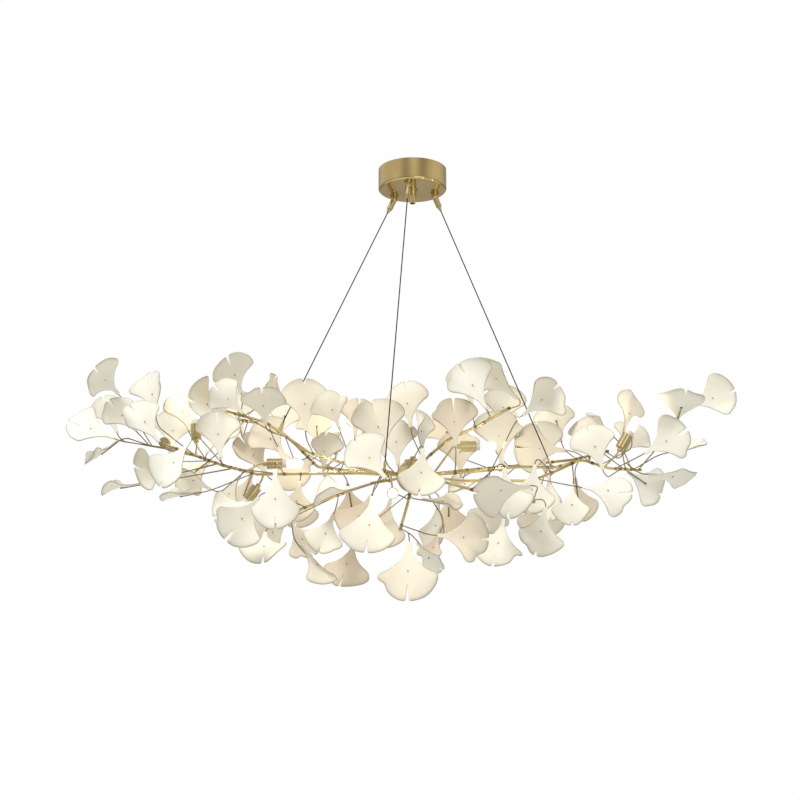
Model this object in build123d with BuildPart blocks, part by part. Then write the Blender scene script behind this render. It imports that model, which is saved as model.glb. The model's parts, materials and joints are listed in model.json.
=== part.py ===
"""Ceramic ginkgo-leaf chandelier: brass boughs under a ball hub, hung on three steel cables.

Millimetres, +Z up. The origin is the middle of the ceiling plane over the canopy. +X runs
along the length of the fixture and -Y is its front.
"""

import functools
import math
import os
from collections import namedtuple

from build123d import *

os.makedirs("parts", exist_ok=True)

# Layout records
Leaf = namedtuple("Leaf", "root across up depth heading lean turn form size")
Lamp = namedtuple("Lamp", "bough across up depth heading lean")
Clip = namedtuple("Clip", "bough run share gripper_angle")

# Clearances
FIT = 0.05
SLIDE = 0.15
LEAF_GAP = 0.3

# Ceiling bracket and its threaded stud
BRACKET_LENGTH = 100.0
BRACKET_WIDTH = 26.0
BRACKET_THICKNESS = 2.0
BRACKET_END_RADIUS = 6.0
SLOT_SPACING = 70.0
SLOT_LENGTH = 12.0
SLOT_WIDTH = 5.0
STUD_RADIUS = 5.0
STUD_BORE = 3.2
STUD_BELOW_CANOPY = 12.0
STUD_NUT_ACROSS = 17.0
STUD_NUT_HEIGHT = 5.0

# Wire terminal under the bracket
TERMINAL_LENGTH = 24.0
TERMINAL_WIDTH = 11.0
TERMINAL_HEIGHT = 14.0
TERMINAL_FROM_AXIS = 17.0
TERMINAL_WAYS = 3
TERMINAL_HOLE_RADIUS = 1.8

# Canopy
CANOPY_RADIUS = 60.0
CANOPY_DEPTH = 38.0
CANOPY_WALL = 1.2
CANOPY_EDGE = 4.0

# Finial that holds the canopy up and lets the mains cord through
FINIAL_RADIUS = 7.0
FINIAL_TIP_RADIUS = 5.0
FINIAL_LENGTH = 24.0
FINIAL_COLLAR_RADIUS = 9.0
FINIAL_COLLAR_HEIGHT = 3.0

# Cable grippers
GRIPPER_CIRCLE = 42.0
GRIPPER_STUD_RADIUS = 4.0
GRIPPER_STUD_ABOVE = 8.0
GRIPPER_FLANGE_RADIUS = 7.5
GRIPPER_FLANGE_HEIGHT = 3.0
GRIPPER_BALL_RADIUS = 6.0
GRIPPER_BARREL_RADIUS = 5.2
GRIPPER_BARREL_END = 20.0
GRIPPER_NUT_ACROSS = 12.0
GRIPPER_NUT_HEIGHT = 4.0
PLUNGER_RADIUS = 3.4
PLUNGER_TIP_RADIUS = 2.1
PLUNGER_OUT = 7.0
PLUNGER_TAPER = 5.0
PLUNGER_SEAT = 6.0
PLUNGER_TRAVEL = 2.0
PLUNGER_ROOM = 0.3

# Steel cables and the clips that hold their lower ends
CABLE_RADIUS = 1.0
CABLE_TOP = 4.0
CLIP_RADIUS = 2.4
CLIP_LENGTH = 16.0
CABLE_END = 6.0

# Ball hub
HUB_UP = -548.0
HUB_RADIUS = 28.0
HUB_WALL = 3.0
HUB_FLAT = 24.0
HUB_CAP_HEIGHT = 3.0
HUB_SPIGOT = 4.0
HUB_KNOB_RADIUS = 5.0
HUB_KNOB_HEIGHT = 9.0

# Brass boughs, collars and twigs
BOUGH_RADIUS = 2.4
BOUGH_IN_HUB = 6.0
BOUGH_BEND = 30.0
COLLAR_WALL = 1.2
COLLAR_LENGTH = 5.0
TWIG_RADIUS = 0.95
TWIG_LEAD = 14.0
TWIG_BEND = 60.0
TWIG_HOOK = 1.5
TWIG_TIP = 1.6
FORK_SHARE = 0.5
RUN_SHARE = 0.45
PERCH_STEP = 2.0
COLLAR_SPACE = 1.0
CROWDED_DETOUR = 100.0
SOFT_TURN = 60.0
SHALLOW_SLANT = 12.0
ARM_RADIUS = 1.6
ARM_LEAD = 12.0

# Porcelain leaves, sizes of a leaf of size 1
LEAF_LENGTH = 84.0
LEAF_THICKNESS = 2.5
FAN_RADIUS = 45.0
FAN_CORNER_UP = 50.0
FAN_CORNER_ROUND = 10.0
FLANK_FLARE = 24.0
PETIOLE_LENGTH = 14.0
PETIOLE_END_HALF = 3.0
PETIOLE_TOP_HALF = 4.0
NOTCH_DEPTH = 22.0
NOTCH_WIDTH = 4.0
LEAF_HOLE_UP = 42.0
LEAF_HOLE_RADIUS = 1.4
OPEN_BEND = 130.0
CUPPED_BEND = 62.0
FURLED_BEND = 40.0
WAVE_BEND = 70.0
FURLED_WIDTH = 0.82
BEND_REACH = 0.9

# Lamps
SLEEVE_RADIUS = 9.0
SLEEVE_WALL = 0.8
SLEEVE_LENGTH = 26.0
SLEEVE_BACK = 1.5
INSERT_RECESS = 0.5
BUSH_RADIUS = 4.0
BUSH_LENGTH = 6.0
ARM_IN_BUSH = 5.0
PIN_SPACING = 9.0
PIN_RADIUS = 1.0
PIN_LENGTH = 8.0
BULB_BASE_RADIUS = 6.6
BULB_BASE_HEIGHT = 9.0
BULB_RADIUS = 7.2
BULB_LENGTH = 26.0
BULB_DOME = 6.5

# Straight up and down
UP = Vector(0, 0, 1)
DOWN = Vector(0, 0, -1)

# Front drawing of the layout: an eye this far in front of and below the hub
EYE = Vector(-22.0, -2400.0, -983.0)

# Boughs from the hub outwards: across, up and depth of each bend in the front drawing
BOUGHS = {
    "left": [(-90, -543, -5), (-180, -544, 0), (-262, -545, 5), (-325, -528, 10), (-415, -495, 15)],
    "upper_left": [(-85, -536, 32), (-175, -508, 50), (-250, -455, 75), (-318, -436, 85)],
    "back_left": [
        (-80, -541, 60), (-160, -533, 100), (-198, -494, 120), (-235, -462, 150), (-300, -450, 190),
    ],
    "front": [(-28, -544, -60), (-52, -538, -118)],
    "front_left": [(-70, -560, -45), (-140, -585, -60), (-190, -605, -55), (-215, -625, -40)],
    "front_right": [(60, -560, -55), (130, -580, -95), (205, -592, -105)],
    "low": [(-8, -590, -45), (-22, -640, -80)],
    "upper": [(25, -515, 25), (60, -485, 40), (110, -462, 45), (165, -430, 45)],
    "right": [
        (95, -541, 10), (175, -532, 25), (240, -533, 35), (285, -520, 30), (330, -535, 25), (385, -537, 18),
    ],
    "lower_right": [(90, -556, -20), (200, -556, -20), (245, -537, -5), (272, -524, 5)],
    "back_right": [(85, -538, 70), (180, -530, 130), (270, -520, 170), (330, -505, 185)],
}

# Leaves of each spray: root is the leaf whose twig it forks from, or None for the bough
SPRAYS = {
    "left_tip": ("left", [
        Leaf(None, -505, -482, -20, 161, 8, 30, "open", 1.0),
        Leaf(0, -500, -487, 20, 226, 20, 62, "furled", 0.85),
        Leaf(None, -500, -474, 70, 112, 10, 15, "open", 0.85),
        Leaf(2, -501, -406, 20, 138, 55, 10, "cupped", 1.0),
        Leaf(0, -468, -470, 20, 135, 10, 20, "open", 0.85),
        Leaf(None, -437, -448, 50, 97, 5, -38, "cupped", 1.0),
        Leaf(None, -428, -490, -40, 128, 10, 30, "open", 1.0),
        Leaf(None, -378, -470, 90, 114, 10, 42, "open", 0.85),
        Leaf(None, -410, -510, 130, 85, 0, 8, "open", 1.0),
    ]),
    "left": ("left", [
        Leaf(None, -404, -541, 20, 184, 40, 18, "open", 1.0),
        Leaf(None, -376, -486, -60, 236, 0, 25, "furled", 1.1),
        Leaf(None, -455, -560, 10, 190, 0, 80, "cupped", 0.85),
        Leaf(None, -354, -573, -40, 192, 0, 75, "cupped", 0.85),
        Leaf(None, -338, -572, 70, 150, 0, -40, "furled", 0.85),
        Leaf(None, -348, -508, 110, 58, 0, -20, "open", 1.0),
        Leaf(None, -292, -548, 85, 243, 0, 40, "cupped", 0.85),
        Leaf(None, -232, -535, -128, 272, 5, 0, "hooded", 1.2),
        Leaf(None, -190, -556, 40, 262, 0, 0, "open", 0.85),
        Leaf(None, -324, -518, -20, 98, 0, 10, "open", 1.0),
    ]),
    "upper_left": ("upper_left", [
        Leaf(None, -316, -434, 60, 178, 48, 12, "cupped", 1.1),
        Leaf(None, -292, -404, 90, 111, 50, 8, "open", 1.0),
        Leaf(None, -250, -460, -10, 92, 50, 0, "open", 1.0),
        Leaf(2, -288, -440, -10, 138, 20, 0, "arched", 0.85),
        Leaf(None, -262, -424, 115, 62, 0, 72, "cupped", 0.75),
        Leaf(None, -182, -470, 20, 92, 5, 0, "open", 1.1),
        Leaf(None, -124, -468, -5, 112, 10, 15, "wave", 0.85),
        Leaf(None, -228, -498, 88, 300, 0, 0, "open", 1.0),
    ]),
    "back_left": ("back_left", [
        Leaf(None, -243, -548, 120, 126, 0, 20, "furled", 1.1),
        Leaf(None, -150, -540, 120, 92, 0, 40, "cupped", 0.85),
        Leaf(None, -345, -470, 210, 150, -20, 200, "open", 1.0),
        Leaf(None, -290, -475, 230, 100, -10, 170, "cupped", 1.0),
        Leaf(None, -225, -480, 215, 80, -15, 190, "open", 1.0),
        Leaf(None, -160, -500, 200, 95, -10, 180, "cupped", 1.0),
        Leaf(None, -340, -520, 200, 215, -20, 195, "open", 1.0),
        Leaf(None, -270, -540, 220, 250, -15, 180, "cupped", 1.1),
        Leaf(None, -190, -560, 200, 265, -10, 190, "open", 1.0),
        Leaf(None, -110, -560, 180, 280, -10, 180, "cupped", 1.0),
        Leaf(None, -95, -500, 190, 70, -20, 180, "wave", 1.0),
        Leaf(None, -98, -480, 110, 84, 0, 0, "open", 0.85),
        Leaf(None, -25, -530, 50, 95, 0, 0, "open", 1.0),
        Leaf(None, -70, -580, 32, 240, 0, 0, "open", 1.0),
        Leaf(None, -215, -515, 102, 130, 0, 0, "open", 1.0),
    ]),
    "front_left": ("front_left", [
        Leaf(None, -258, -583, -90, 235, 10, -15, "open", 1.1),
        Leaf(None, -246, -642, -10, 272, 45, 0, "cupped", 1.0),
        Leaf(None, -205, -622, 15, 215, 0, -20, "open", 0.85),
        Leaf(None, -268, -592, -45, 200, 0, 25, "wave", 0.85),
        Leaf(None, -133, -612, -95, 250, 10, 0, "open", 0.85),
        Leaf(None, -188, -664, -90, 309, 0, -65, "hooded", 1.0),
        Leaf(None, -205, -625, -20, 305, 0, 0, "open", 0.85),
    ]),
    "front": ("front", [
        Leaf(None, -47, -514, -60, 104, 0, 12, "cupped", 1.2),
        Leaf(None, -46, -552, -135, 129, 10, 0, "open", 1.0),
        Leaf(None, -68, -582, -170, 264, 5, -8, "arched", 1.1),
        Leaf(None, -72, -560, -100, 196, 0, 72, "cupped", 1.2),
        Leaf(None, 17, -500, -65, 265, 5, -8, "open", 1.0),
    ]),
    "low": ("low", [
        Leaf(None, -96, -657, -30, 252, 10, 40, "wave", 1.0),
        Leaf(None, -7, -658, -150, 268, 15, 5, "cupped", 1.2),
        Leaf(None, 40, -648, -110, 355, 5, 5, "cupped", 1.0),
        Leaf(None, 42, -590, 10, 266, 0, 52, "cupped", 1.0),
        Leaf(1, 6, -660, -70, 310, 0, 62, "cupped", 0.75),
        Leaf(3, 46, -634, -30, 252, 0, 60, "cupped", 0.85),
        Leaf(None, 14, -586, -35, 350, 0, -58, "furled", 0.85),
        Leaf(None, -38, -588, -15, 255, 0, 0, "open", 1.0),
    ]),
    "upper": ("upper", [
        Leaf(None, -4, -465, 10, 97, 5, -15, "open", 1.0),
        Leaf(None, 17, -514, -20, 96, 0, 60, "furled", 1.0),
        Leaf(None, 100, -430, 75, 97, 10, -10, "open", 1.0),
        Leaf(None, 178, -415, 20, 135, 5, -62, "cupped", 1.2),
        Leaf(None, 125, -432, -52, 120, 0, 5, "open", 1.1),
    ]),
    "right_tip": ("right", [
        Leaf(None, 390, -509, -30, 29, 0, 0, "open", 1.0),
        Leaf(0, 394, -547, -10, -1, 0, 78, "open", 1.0),
        Leaf(None, 447, -453, 10, 86, 68, 178, "open", 1.0),
        Leaf(2, 470, -427, 12, 19, 0, 0, "open", 1.0),
        Leaf(None, 428, -506, 50, 12, 0, -58, "cupped", 0.85),
    ]),
    "right": ("right", [
        Leaf(None, 186, -444, -10, 40, 5, 25, "cupped", 1.0),
        Leaf(None, 258, -504, 70, 176, 0, -10, "open", 1.1),
        Leaf(None, 222, -540, 110, 100, 0, 0, "open", 1.1),
        Leaf(None, 320, -538, -30, 108, 0, 0, "open", 1.0),
        Leaf(None, 340, -478, 50, 140, 0, 76, "cupped", 0.75),
        Leaf(None, 356, -480, 30, 76, 0, 68, "wave", 1.0),
        Leaf(None, 372, -486, 110, 95, 0, 70, "cupped", 0.75),
        Leaf(None, 228, -545, 50, 272, 0, 35, "furled", 1.0),
        Leaf(None, 116, -550, 12, 205, 0, 50, "furled", 0.75),
        Leaf(None, 72, -498, -20, 93, 5, 0, "cupped", 1.0),
    ]),
    "lower_right": ("lower_right", [
        Leaf(None, 284, -566, -50, 350, 0, -25, "arched", 1.0),
        Leaf(None, 268, -562, 0, 266, 5, 20, "open", 0.85),
        Leaf(None, 205, -528, -58, 262, 0, 0, "open", 1.0),
    ]),
    "front_right": ("front_right", [
        Leaf(None, 196, -566, -165, 186, 0, -50, "cupped", 1.1),
        Leaf(None, 222, -600, -85, 256, 5, -12, "open", 1.0),
        Leaf(None, 152, -620, -70, 256, 5, 25, "wave", 1.0),
        Leaf(None, 154, -534, -117, 273, 5, -5, "cupped", 1.0),
    ]),
    "back_right": ("back_right", [
        Leaf(None, 352, -512, 205, 60, -20, 190, "open", 1.0),
        Leaf(None, 298, -515, 215, 85, -15, 180, "cupped", 1.0),
        Leaf(None, 250, -490, 210, 100, -10, 190, "open", 1.0),
        Leaf(None, 140, -495, 190, 80, -15, 180, "cupped", 1.0),
        Leaf(None, 360, -540, 190, 330, -20, 180, "wave", 1.0),
        Leaf(None, 272, -550, 210, 278, -15, 180, "cupped", 1.0),
        Leaf(None, 215, -570, 200, 268, -10, 190, "open", 1.1),
        Leaf(None, 140, -570, 185, 255, -10, 180, "cupped", 1.0),
        Leaf(None, 70, -505, 185, 110, -20, 180, "open", 1.0),
        Leaf(None, 60, -575, 170, 270, -10, 200, "cupped", 1.0),
        Leaf(None, 150, -528, 86, 96, 0, 10, "open", 1.2),
        Leaf(None, 80, -548, 107, 92, 0, 0, "open", 1.0),
        Leaf(None, 150, -470, 118, 85, 0, 0, "open", 1.0),
    ]),
}

# Lamps: the back of each holder and the way its bulb points
LAMPS = [
    Lamp("left", -246, -527, 10, 0, 0),
    Lamp("left", -262, -567, 10, 235, 0),
    Lamp("left", -421, -490, 60, 90, -80),
    Lamp("left", -366, -484, 45, 95, 0),
    Lamp("front", -34, -577, -130, 270, 80),
    Lamp("right", 80, -497, 0, 0, 0),
    Lamp("right", 350, -500, -25, 60, 0),
    Lamp("back_left", -130, -505, 160, 90, 0),
    Lamp("back_right", 180, -505, 145, 90, 0),
]

# Where each cable is clipped to a bough, and the place of its gripper round the canopy
CLIPS = [
    Clip("upper_left", 2, 0.70, 140.0),
    Clip("front", 1, 0.85, 260.0),
    Clip("right", 2, 0.90, 20.0),
]


# Places and paths


def sight(across, up, depth):
    """The place drawn at (across, up) on the hub's plane, moved along the eye's line to depth."""
    drawn = Vector(across, 0, up)
    return EYE + (drawn - EYE) * ((depth - EYE.Y) / -EYE.Y)


def heading_vector(heading, lean):
    """A direction from its angle in the front drawing and its lean towards the front."""
    turn, tip = math.radians(heading), math.radians(lean)
    return Vector(math.cos(turn) * math.cos(tip), -math.sin(tip), math.sin(turn) * math.cos(tip))


def leaf_plane(leaf):
    """Plane with its origin at the petiole's end, Y along the leaf and Z out of its face."""
    along = heading_vector(leaf.heading, leaf.lean)
    front = Vector(0, -1, 0)
    face = (front - along * front.dot(along)).normalized()
    face = face.rotate(Axis((0, 0, 0), along), leaf.turn)
    return Plane(sight(leaf.across, leaf.up, leaf.depth), x_dir=along.cross(face), z_dir=face)


def lamp_plane(lamp):
    """Plane with its origin at the back of the holder and Z the way the bulb points."""
    return Plane(sight(lamp.across, lamp.up, lamp.depth), z_dir=heading_vector(lamp.heading, lamp.lean))


def corner_turns(points):
    """Turn of a path at each of its corners, in radians."""
    return [math.radians((b - a).get_angle(c - b)) for a, b, c in zip(points, points[1:], points[2:])]


def widest_bends(points, limit, lead=math.inf):
    """Radius at each corner: as wide as the two runs beside it, the lead and the limit allow."""
    runs = [(b - a).length for a, b in zip(points, points[1:])]
    bends = []
    for turn, before, after in zip(corner_turns(points), runs, runs[1:]):
        tangent = min(RUN_SHARE * min(before, after), lead)
        bends.append(min(limit, tangent / math.tan(turn / 2)))
    return bends


def bough_points(name):
    """Corners of a bough, from inside the hub's wall to its tip."""
    hub = Vector(0, 0, HUB_UP)
    bends = [sight(*place) for place in BOUGHS[name]]
    start = hub + (bends[0] - hub).normalized() * (HUB_RADIUS - BOUGH_IN_HUB)
    return [start] + bends


def bough_perches(name):
    """Places for collars on the straight stretches of a bough, each with its direction there."""
    points = bough_points(name)
    tangents = [
        bend * math.tan(turn / 2)
        for bend, turn in zip(widest_bends(points, BOUGH_BEND), corner_turns(points))
    ]
    margins = [BOUGH_IN_HUB + COLLAR_LENGTH] + tangents + [0.0]
    perches = []
    for a, b, before, after in zip(points, points[1:], margins, margins[1:]):
        along = (b - a).normalized()
        place = before + COLLAR_LENGTH / 2
        while place < (b - a).length - after - COLLAR_LENGTH / 2:
            perches.append((a + along * place, along))
            place += PERCH_STEP
    return perches


def run_gap(place, start, end):
    """Distance of a place from the straight run between two points."""
    run = end - start
    share = max(0.0, min(1.0, (place - start).dot(run) / run.dot(run)))
    return (place - start - run * share).length


def easiest_perch(name, taken, target, along):
    """The perch from which a stem reaches target, heading along, on a short, soft and clear path."""

    def crowding(perch):
        space = COLLAR_LENGTH + COLLAR_SPACE
        gaps = [
            min(run_gap(place, perch[0], target), run_gap(perch[0], place, end))
            for place, end in taken[name]
        ]
        return sum(max(0.0, space - gap) for gap in gaps)

    def effort(perch):
        run = target - perch[0]
        slant = run.get_angle(perch[1])
        bend = (run.get_angle(along) / SOFT_TURN) ** 2
        slope = (SHALLOW_SLANT / min(slant, 180 - slant)) ** 2
        return run.length * (1 + bend + slope) + CROWDED_DETOUR * crowding(perch)

    best = min(bough_perches(name), key=effort)
    taken[name].append((best[0], target))
    return best


def clip_place(clip):
    """Middle of a cable clip on its bough, and the bough's direction there."""
    points = bough_points(clip.bough)
    a, b = points[clip.run], points[clip.run + 1]
    return a + (b - a) * clip.share, (b - a).normalized()


def gripper_ball(clip):
    """Middle of the ball under the canopy from which a gripper follows its cable."""
    angle = math.radians(clip.gripper_angle)
    up = -CANOPY_DEPTH - GRIPPER_FLANGE_HEIGHT - GRIPPER_BALL_RADIUS / 2
    return Vector(GRIPPER_CIRCLE * math.cos(angle), GRIPPER_CIRCLE * math.sin(angle), up)


def cable_direction(clip):
    """Way a cable runs, from its gripper down to its clip."""
    return (clip_place(clip)[0] - gripper_ball(clip)).normalized()


def collar_wall(collar, target):
    """Middle of a collar's wall on the side of the target, where a stem leaves it."""
    place, direction = collar
    run = target - place
    outward = (run - direction * run.dot(direction)).normalized()
    return place + outward * (BOUGH_RADIUS + FIT + COLLAR_WALL / 2)


def plan_stems():
    """Corners, bends and collar of every lamp arm and twig, each at its own perch."""
    taken = {name: [] for name in BOUGHS}
    for clip in CLIPS:
        place = clip_place(clip)[0]
        taken[clip.bough].append((place, place - cable_direction(clip) * CLIP_LENGTH))
    arms = []
    for lamp in LAMPS:
        plane = lamp_plane(lamp)
        lead = plane.from_local_coords(Vector(0, 0, -ARM_LEAD))
        end = plane.from_local_coords(Vector(0, 0, ARM_IN_BUSH - BUSH_LENGTH))
        collar = easiest_perch(lamp.bough, taken, lead, plane.z_dir)
        points = [collar_wall(collar, lead), lead, end]
        arms.append((points, widest_bends(points, TWIG_BEND, ARM_LEAD), collar))
    twigs = {}
    drop = -(LEAF_THICKNESS / 2 + LEAF_GAP + TWIG_RADIUS)
    for spray, (bough, leaves) in SPRAYS.items():
        twigs[spray] = []
        for leaf in leaves:
            plane = leaf_plane(leaf)
            hole = LEAF_HOLE_UP * leaf.size
            lead = plane.from_local_coords(Vector(0, -TWIG_LEAD, drop))
            hook = plane.from_local_coords(Vector(0, hole, drop))
            tip = plane.from_local_coords(Vector(0, hole, LEAF_THICKNESS / 2 + TWIG_TIP))
            if leaf.root is None:
                collar = easiest_perch(bough, taken, lead, plane.y_dir)
                start = collar_wall(collar, lead)
            else:
                collar = None
                stem = twigs[spray][leaf.root][0]
                start = stem[0] + (stem[1] - stem[0]) * FORK_SHARE
            points = [start, lead, hook, tip]
            bends = widest_bends(points, TWIG_BEND, TWIG_LEAD)
            bends[-1] = TWIG_HOOK
            twigs[spray].append((points, bends, collar))
    return arms, twigs


ARM_PATHS, TWIG_PATHS = plan_stems()


# Construction helpers


def rod(points, bends, radius):
    """Adds a round rod along straight runs joined by bends to the part being built."""
    with BuildLine() as route:
        FilletPolyline(*points, radius=bends)
    with BuildSketch(Plane(route.line @ 0, z_dir=route.line % 0)) as section:
        Circle(radius)
    sweep(section.sketch, path=route.line)


def round_bar(start, direction, length, radius, mode=Mode.ADD):
    """Adds or cuts a straight round bar from start along direction."""
    with BuildSketch(Plane(start, z_dir=direction)) as section:
        Circle(radius)
    extrude(section.sketch, amount=length, mode=mode)


def bough_collar(place, direction):
    """Adds the collar that grips a bough to the part being built, and clears its bore."""
    bore = BOUGH_RADIUS + FIT
    round_bar(place - direction * COLLAR_LENGTH / 2, direction, COLLAR_LENGTH, bore + COLLAR_WALL)
    round_bar(place - direction * COLLAR_LENGTH, direction, 2 * COLLAR_LENGTH, bore, Mode.SUBTRACT)


def export_piece(piece, name):
    """Labels a finished piece and writes it."""
    piece.label = name
    export_step(piece, f"parts/{name}.step")


# Porcelain leaf of each form: bend across the petiole, positive towards the face, and width
LEAF_FORMS = {
    "open": (OPEN_BEND, 1.0),
    "cupped": (CUPPED_BEND, 1.0),
    "furled": (FURLED_BEND, FURLED_WIDTH),
    "arched": (-CUPPED_BEND, 1.0),
    "hooded": (-FURLED_BEND, FURLED_WIDTH),
    "wave": (WAVE_BEND, 1.0),
}


def leaf_outline(width):
    """Flat fan with its petiole, notch and rounded corners."""
    middle = LEAF_LENGTH - FAN_RADIUS
    corner = (math.sqrt(FAN_RADIUS**2 - (FAN_CORNER_UP - middle) ** 2), FAN_CORNER_UP)
    lip = (NOTCH_WIDTH / 2, middle + math.sqrt(FAN_RADIUS**2 - (NOTCH_WIDTH / 2) ** 2))
    shoulder = (FAN_RADIUS * math.cos(math.pi / 4), middle + FAN_RADIUS * math.sin(math.pi / 4))
    petiole_top = (PETIOLE_TOP_HALF, PETIOLE_LENGTH)
    flare = math.radians(FLANK_FLARE)
    with BuildSketch() as fan:
        with BuildLine():
            Polyline((0, 0), (PETIOLE_END_HALF, 0), petiole_top)
            TangentArc(petiole_top, corner, tangent=(math.sin(flare), math.cos(flare)))
            ThreePointArc(corner, shoulder, lip)
            Line(lip, (0, LEAF_LENGTH - NOTCH_DEPTH))
            mirror(about=Plane.YZ)
        make_face()
        across = fan.vertices().group_by(Axis.X)
        fillet(across[0] + across[-1], FAN_CORNER_ROUND)
    return fan.sketch if width == 1.0 else scale(fan.sketch, by=(width, 1, 1))


def bent_sheet(bend):
    """Section across the petiole of a sheet bent to a radius, round an axis above or below it."""
    with BuildSketch(Plane.XZ) as sheet:
        with Locations((0, bend)):
            Circle(abs(bend) + LEAF_THICKNESS / 2)
            Circle(abs(bend) - LEAF_THICKNESS / 2, mode=Mode.SUBTRACT)
    return sheet.sketch


def half_sheet(bend, side):
    """The half of a bent sheet on one side of the petiole."""
    reach = 4 * abs(bend)
    with BuildSketch(Plane.XZ) as half:
        add(bent_sheet(bend))
        with Locations((side * reach / 2, 0)):
            Rectangle(reach, 2 * reach, mode=Mode.INTERSECT)
    return half.sketch


@functools.cache
def leaf_blank(form, size):
    """One leaf with its petiole's end at the origin, Y along it and Z out of its face."""
    bend, width = LEAF_FORMS[form]
    bend *= size
    with BuildSketch(Plane.XZ) as sheet:
        if form == "wave":
            add(half_sheet(bend, 1))
            add(half_sheet(-bend, -1))
        else:
            add(bent_sheet(bend))
    with BuildPart() as blank:
        extrude(scale(leaf_outline(width), by=size), amount=BEND_REACH * abs(bend), both=True)
        extrude(sheet.sketch, amount=2 * LEAF_LENGTH, both=True, mode=Mode.INTERSECT)
        with Locations((0, LEAF_HOLE_UP * size, 0)):
            Cylinder(LEAF_HOLE_RADIUS, 2 * LEAF_THICKNESS, mode=Mode.SUBTRACT)
    return blank.part


# Ceiling bracket with two slots and the stud's hole
with BuildPart() as ceiling_bracket:
    with BuildSketch():
        RectangleRounded(BRACKET_LENGTH, BRACKET_WIDTH, BRACKET_END_RADIUS)
        Circle(STUD_RADIUS + FIT, mode=Mode.SUBTRACT)
        with GridLocations(SLOT_SPACING, 0, 2, 1):
            SlotOverall(SLOT_LENGTH, SLOT_WIDTH, mode=Mode.SUBTRACT)
    extrude(amount=-BRACKET_THICKNESS)
export_piece(ceiling_bracket.part, "ceiling_bracket")

# Hollow stud from the bracket down through the canopy
with BuildPart() as canopy_stud:
    with BuildSketch():
        Circle(STUD_RADIUS)
        Circle(STUD_BORE, mode=Mode.SUBTRACT)
    extrude(amount=-(CANOPY_DEPTH + STUD_BELOW_CANOPY))
export_piece(canopy_stud.part, "canopy_stud")

with BuildPart() as stud_nut:
    with BuildSketch(Plane.XY.offset(-BRACKET_THICKNESS)):
        RegularPolygon(STUD_NUT_ACROSS / 2, 6, major_radius=False)
        Circle(STUD_RADIUS + FIT, mode=Mode.SUBTRACT)
    extrude(amount=-STUD_NUT_HEIGHT)
export_piece(stud_nut.part, "stud_nut")

# Terminal block under the bracket, beside the stud
with BuildPart() as terminal_block:
    with BuildSketch(Plane.XY.offset(-BRACKET_THICKNESS)):
        with Locations((TERMINAL_FROM_AXIS, 0)):
            Rectangle(TERMINAL_WIDTH, TERMINAL_LENGTH)
    extrude(amount=-TERMINAL_HEIGHT)
    with BuildSketch(Plane.YZ.offset(TERMINAL_FROM_AXIS)):
        with Locations((0, -BRACKET_THICKNESS - TERMINAL_HEIGHT / 2)):
            with GridLocations(TERMINAL_LENGTH / TERMINAL_WAYS, 0, TERMINAL_WAYS, 1):
                Circle(TERMINAL_HOLE_RADIUS)
    extrude(amount=TERMINAL_WIDTH, both=True, mode=Mode.SUBTRACT)
export_piece(terminal_block.part, "terminal_block")

# Canopy: a drawn cup, open to the ceiling
with BuildPart() as canopy:
    with BuildSketch(Plane.XZ) as cup_wall:
        with Locations((0, -CANOPY_DEPTH)):
            Rectangle(CANOPY_RADIUS, CANOPY_DEPTH, align=(Align.MIN, Align.MIN))
        fillet(cup_wall.vertices().group_by(Axis.Y)[0].sort_by(Axis.X)[-1], CANOPY_EDGE)
        with BuildSketch(Plane.XZ, mode=Mode.SUBTRACT) as cup_space:
            with Locations((0, CANOPY_WALL - CANOPY_DEPTH)):
                Rectangle(CANOPY_RADIUS - CANOPY_WALL, CANOPY_DEPTH, align=(Align.MIN, Align.MIN))
            fillet(cup_space.vertices().group_by(Axis.Y)[0].sort_by(Axis.X)[-1], CANOPY_EDGE - CANOPY_WALL)
    revolve(axis=Axis.Z)
    with BuildSketch(Plane.XY.offset(-CANOPY_DEPTH)):
        Circle(STUD_RADIUS + FIT)
        for clip in CLIPS:
            with Locations((gripper_ball(clip).X, gripper_ball(clip).Y)):
                Circle(GRIPPER_STUD_RADIUS + FIT)
    extrude(amount=2 * CANOPY_WALL, mode=Mode.SUBTRACT)
export_piece(canopy.part, "canopy")

# Finial on the stud's end
with BuildPart() as finial:
    with BuildSketch(Plane.XZ):
        with BuildLine():
            Polyline(
                (STUD_BORE, -CANOPY_DEPTH),
                (FINIAL_COLLAR_RADIUS, -CANOPY_DEPTH),
                (FINIAL_COLLAR_RADIUS, -CANOPY_DEPTH - FINIAL_COLLAR_HEIGHT),
                (FINIAL_RADIUS, -CANOPY_DEPTH - FINIAL_COLLAR_HEIGHT),
                (FINIAL_TIP_RADIUS, -CANOPY_DEPTH - FINIAL_LENGTH),
                (STUD_BORE, -CANOPY_DEPTH - FINIAL_LENGTH),
                close=True,
            )
        make_face()
    revolve(axis=Axis.Z)
    thread_depth = STUD_BELOW_CANOPY + FIT
    round_bar(Vector(0, 0, -CANOPY_DEPTH), DOWN, thread_depth, STUD_RADIUS + FIT, Mode.SUBTRACT)
export_piece(finial.part, "finial")

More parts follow.
